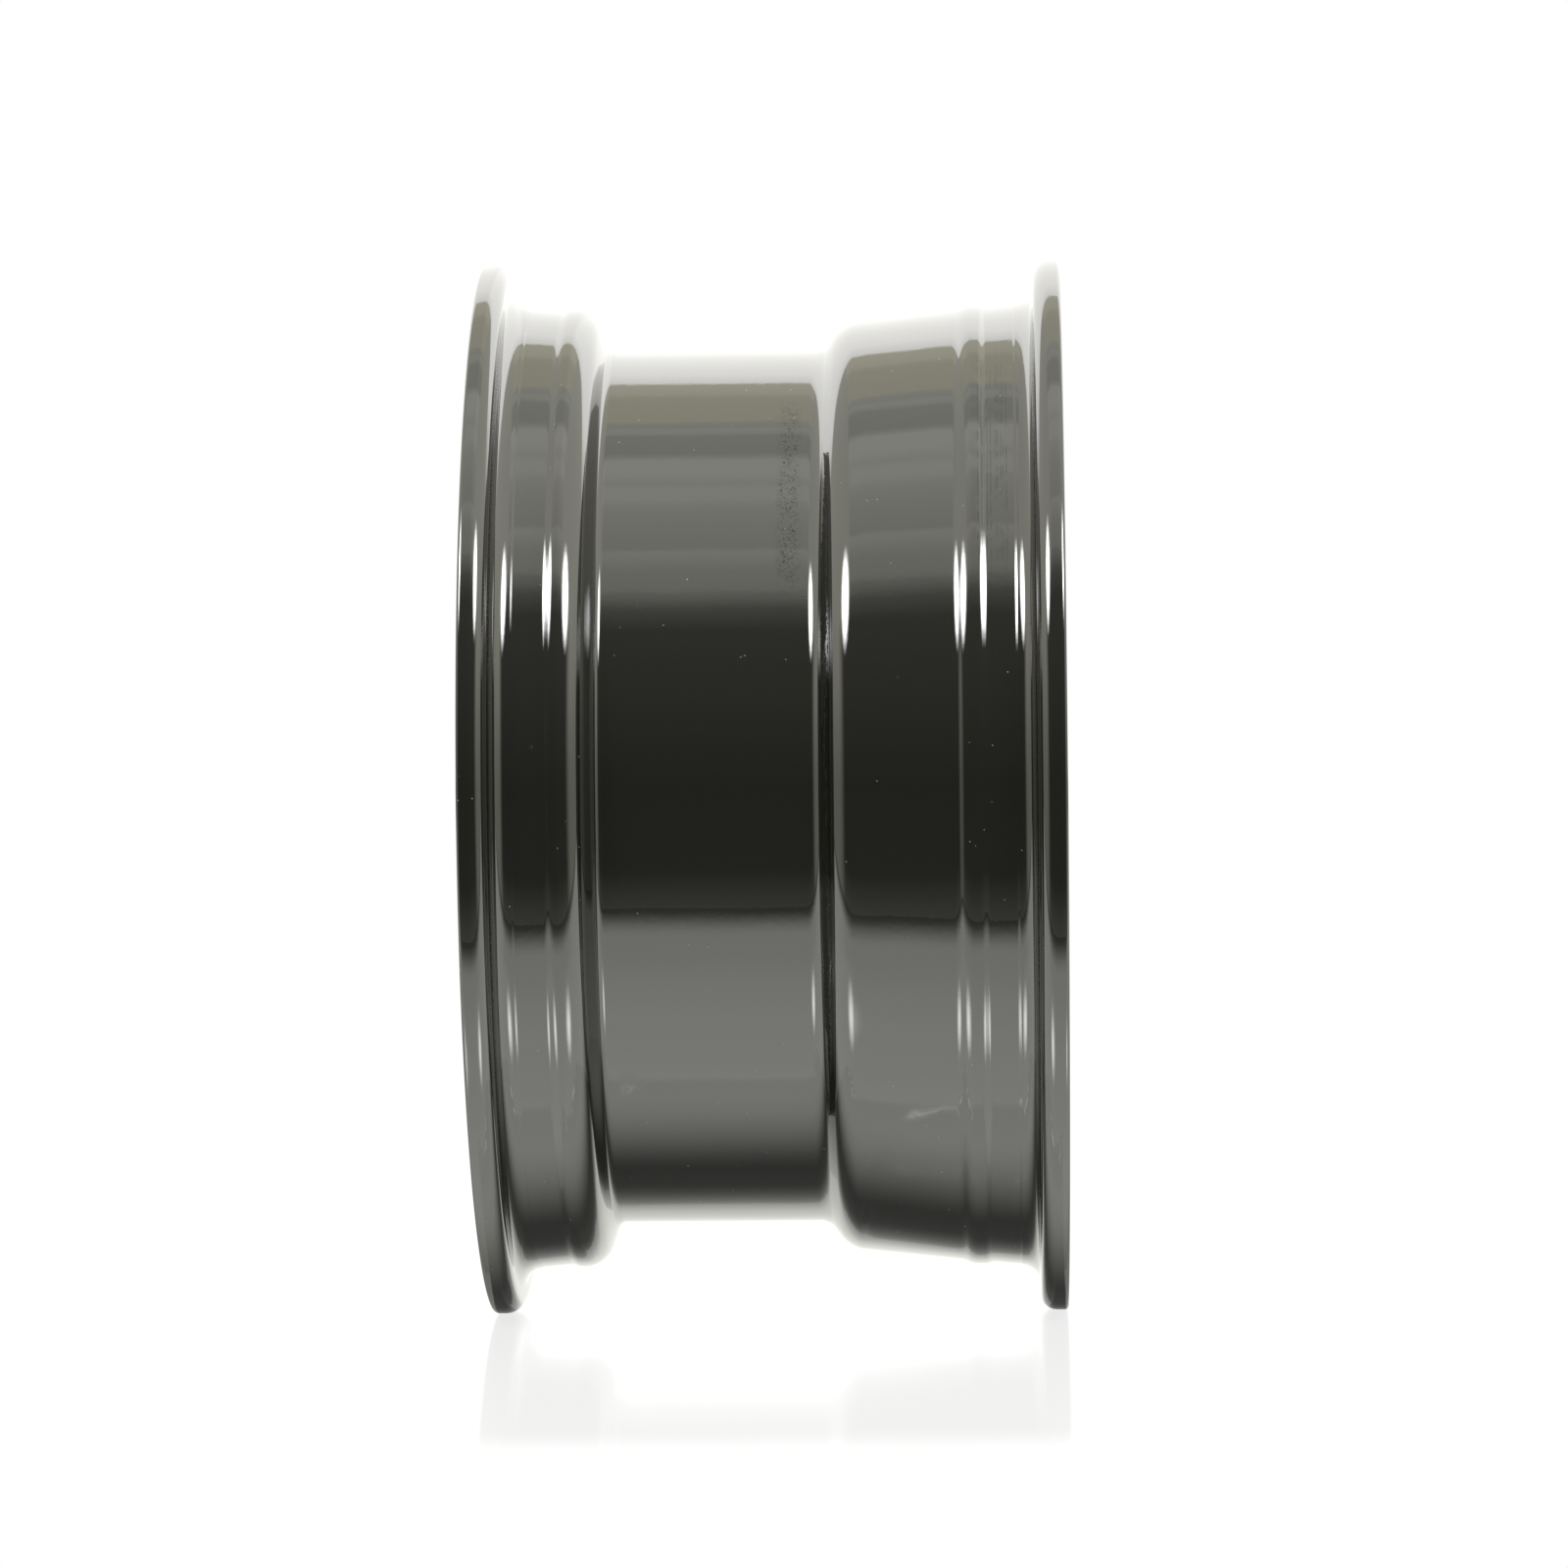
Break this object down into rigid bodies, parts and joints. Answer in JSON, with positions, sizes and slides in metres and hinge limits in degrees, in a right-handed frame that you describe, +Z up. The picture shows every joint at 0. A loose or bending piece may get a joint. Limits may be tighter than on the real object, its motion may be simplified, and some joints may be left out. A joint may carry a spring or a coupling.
{
  "type": "car wheel",
  "caption": "Steel car wheel: a rolled drop-centre rim with flanges and safety humps, and a pressed disc with hand holes and a bolt circle welded inside.",
  "frame": {"origin": "centre of the rim on the spin axis, half way between the lips of its two flanges", "axes": "+Y along the spin axis towards the vehicle side, +Z up, the camera of the picture looks along -X"},
  "size_m": [0.4148, 0.2252, 0.4148],
  "materials": {
    "rim_paint": "gloss",
    "disc_paint": "gloss",
    "weld_paint": "gloss"
  },
  "bodies": {
    "root": {"rim": "rim_paint", "wheel_disc": "disc_paint", "weld_beads": "weld_paint"}
  },
  "joints": []
}
